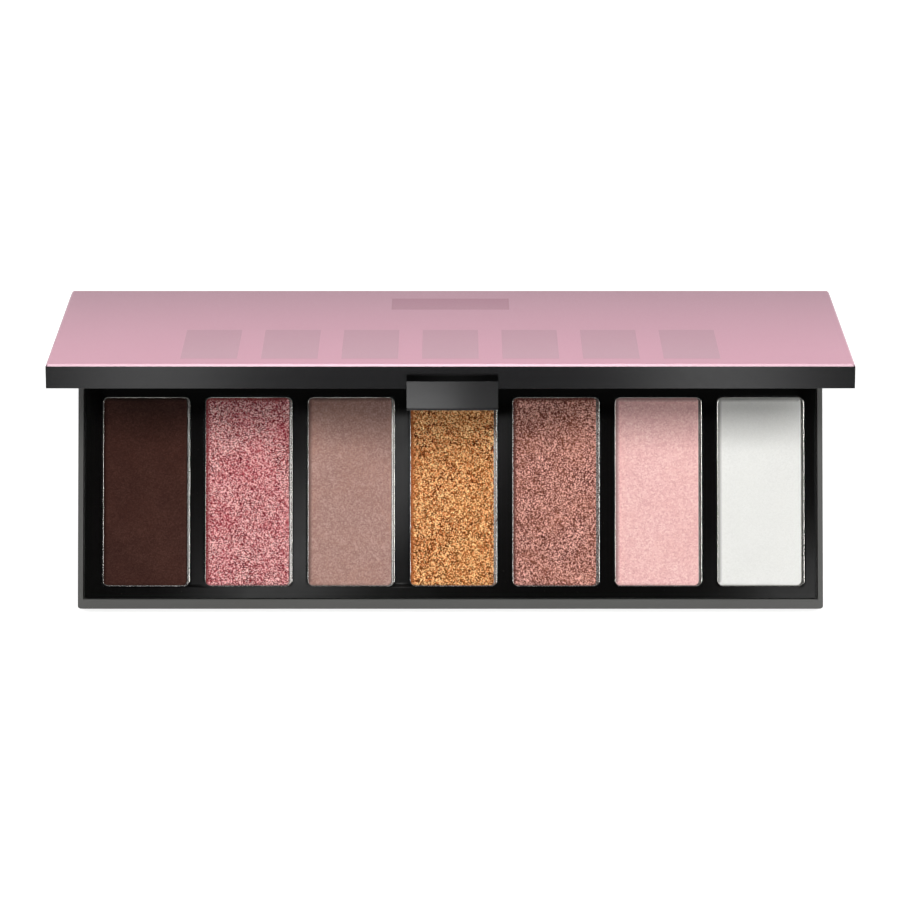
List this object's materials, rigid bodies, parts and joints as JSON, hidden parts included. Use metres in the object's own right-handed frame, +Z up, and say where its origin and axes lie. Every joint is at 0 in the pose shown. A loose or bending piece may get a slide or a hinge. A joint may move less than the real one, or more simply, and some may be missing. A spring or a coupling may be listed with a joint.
{
  "type": "eyeshadow palette",
  "caption": "Slim rectangular eyeshadow palette with a row of upright powder pans in a glossy tray and a mirrored lid on a rear hinge.",
  "frame": {"origin": "centre of the underside of the base", "axes": "+Z up out of the pans, +X along the row of pans to the right, -Y towards the front edge and the clasp, +Y towards the hinge"},
  "size_m": [0.148, 0.0621, 0.0627],
  "materials": {
    "casing": "satin black moulded plastic",
    "tray": "glossy black moulded plastic",
    "pan_metal": "bright pressed sheet",
    "powder_brown": "matte pressed powder",
    "powder_rose": "shimmering pressed powder",
    "powder_mauve": "satin pressed powder",
    "powder_gold": "coarse glitter in pressed powder",
    "powder_bronze": "shimmering pressed powder",
    "powder_pink": "satin pressed powder with fine sparkle",
    "powder_white": "matte pressed powder",
    "glue": "dried contact adhesive",
    "pin_steel": "drawn wire",
    "label_paper": "plain coated paper",
    "lid_metallic_pink": "pearly metallic pink with a polished edge",
    "film": "double-sided adhesive film",
    "mirror": "silvered glass",
    "clasp": "satin dark grey moulded plastic"
  },
  "bodies": {
    "base": {"base_shell": "casing", "pan_tray": "tray", "pan_1": "pan_metal", "powder_1": "powder_brown", "pan_glue_1": "glue", "pan_2": "pan_metal", "powder_2": "powder_rose", "pan_glue_2": "glue", "pan_3": "pan_metal", "powder_3": "powder_mauve", "pan_glue_3": "glue", "pan_4": "pan_metal", "powder_4": "powder_gold", "pan_glue_4": "glue", "pan_5": "pan_metal", "powder_5": "powder_bronze", "pan_glue_5": "glue", "pan_6": "pan_metal", "powder_6": "powder_pink", "pan_glue_6": "glue", "pan_7": "pan_metal", "powder_7": "powder_white", "pan_glue_7": "glue", "hinge_pin_left": "pin_steel", "hinge_pin_right": "pin_steel", "base_label": "label_paper"},
    "lid": {"lid_shell": "casing", "lid_panel": "lid_metallic_pink", "panel_film": "film", "mirror": "mirror", "mirror_tape": "film", "clasp_tab": "clasp"}
  },
  "joints": [
    {"name": "lid_hinge", "type": "hinge", "parent": "base", "child": "lid", "pos_m": [0, 0.0274, 0.0048], "axis": [-1, 0, 0], "range_deg": [-72.5, 38.5]}
  ]
}
